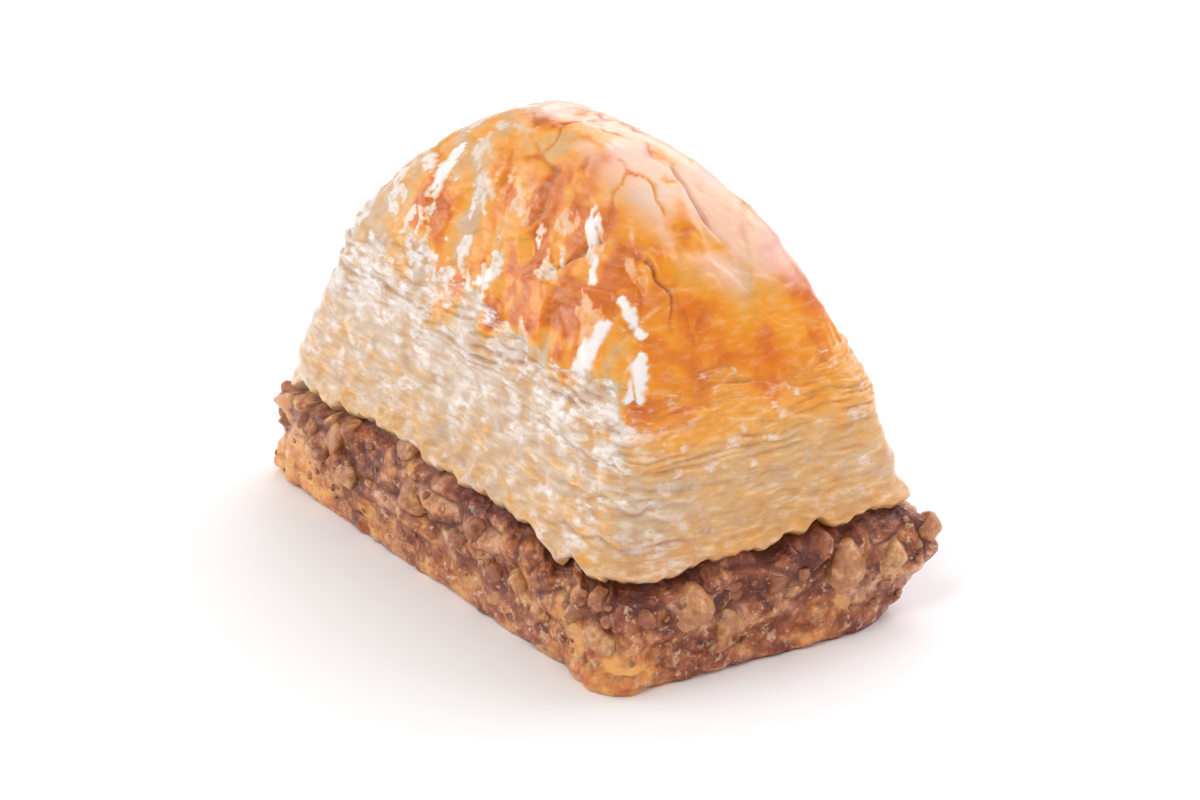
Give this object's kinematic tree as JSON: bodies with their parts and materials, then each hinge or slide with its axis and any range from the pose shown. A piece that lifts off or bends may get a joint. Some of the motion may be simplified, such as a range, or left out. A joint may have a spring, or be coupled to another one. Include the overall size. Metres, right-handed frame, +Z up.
{
  "type": "baklava piece",
  "caption": "Cut piece of walnut baklava: a domed, browned stack of filo on a chopped walnut filling and syrup-soaked base sheets.",
  "frame": {"origin": "middle of the footprint, on the flat underside", "axes": "+X along the long cut side, towards the wider end; +Y from the long cut side that faces front to the back; +Z up through the dome"},
  "size_m": [0.0595, 0.0324, 0.0396],
  "materials": {
    "soaked_base": "syrup-soaked brown-orange pastry sheets, wet and glossy",
    "walnut_paste": "chopped walnuts in a mauve-brown paste, damp with syrup",
    "baked_filo": "cream cut filo edges below, golden-orange syrup-glazed crust on the dome"
  },
  "bodies": {
    "root": {"base_pastry": "soaked_base", "nut_filling": "walnut_paste", "top_pastry": "baked_filo"}
  },
  "joints": []
}
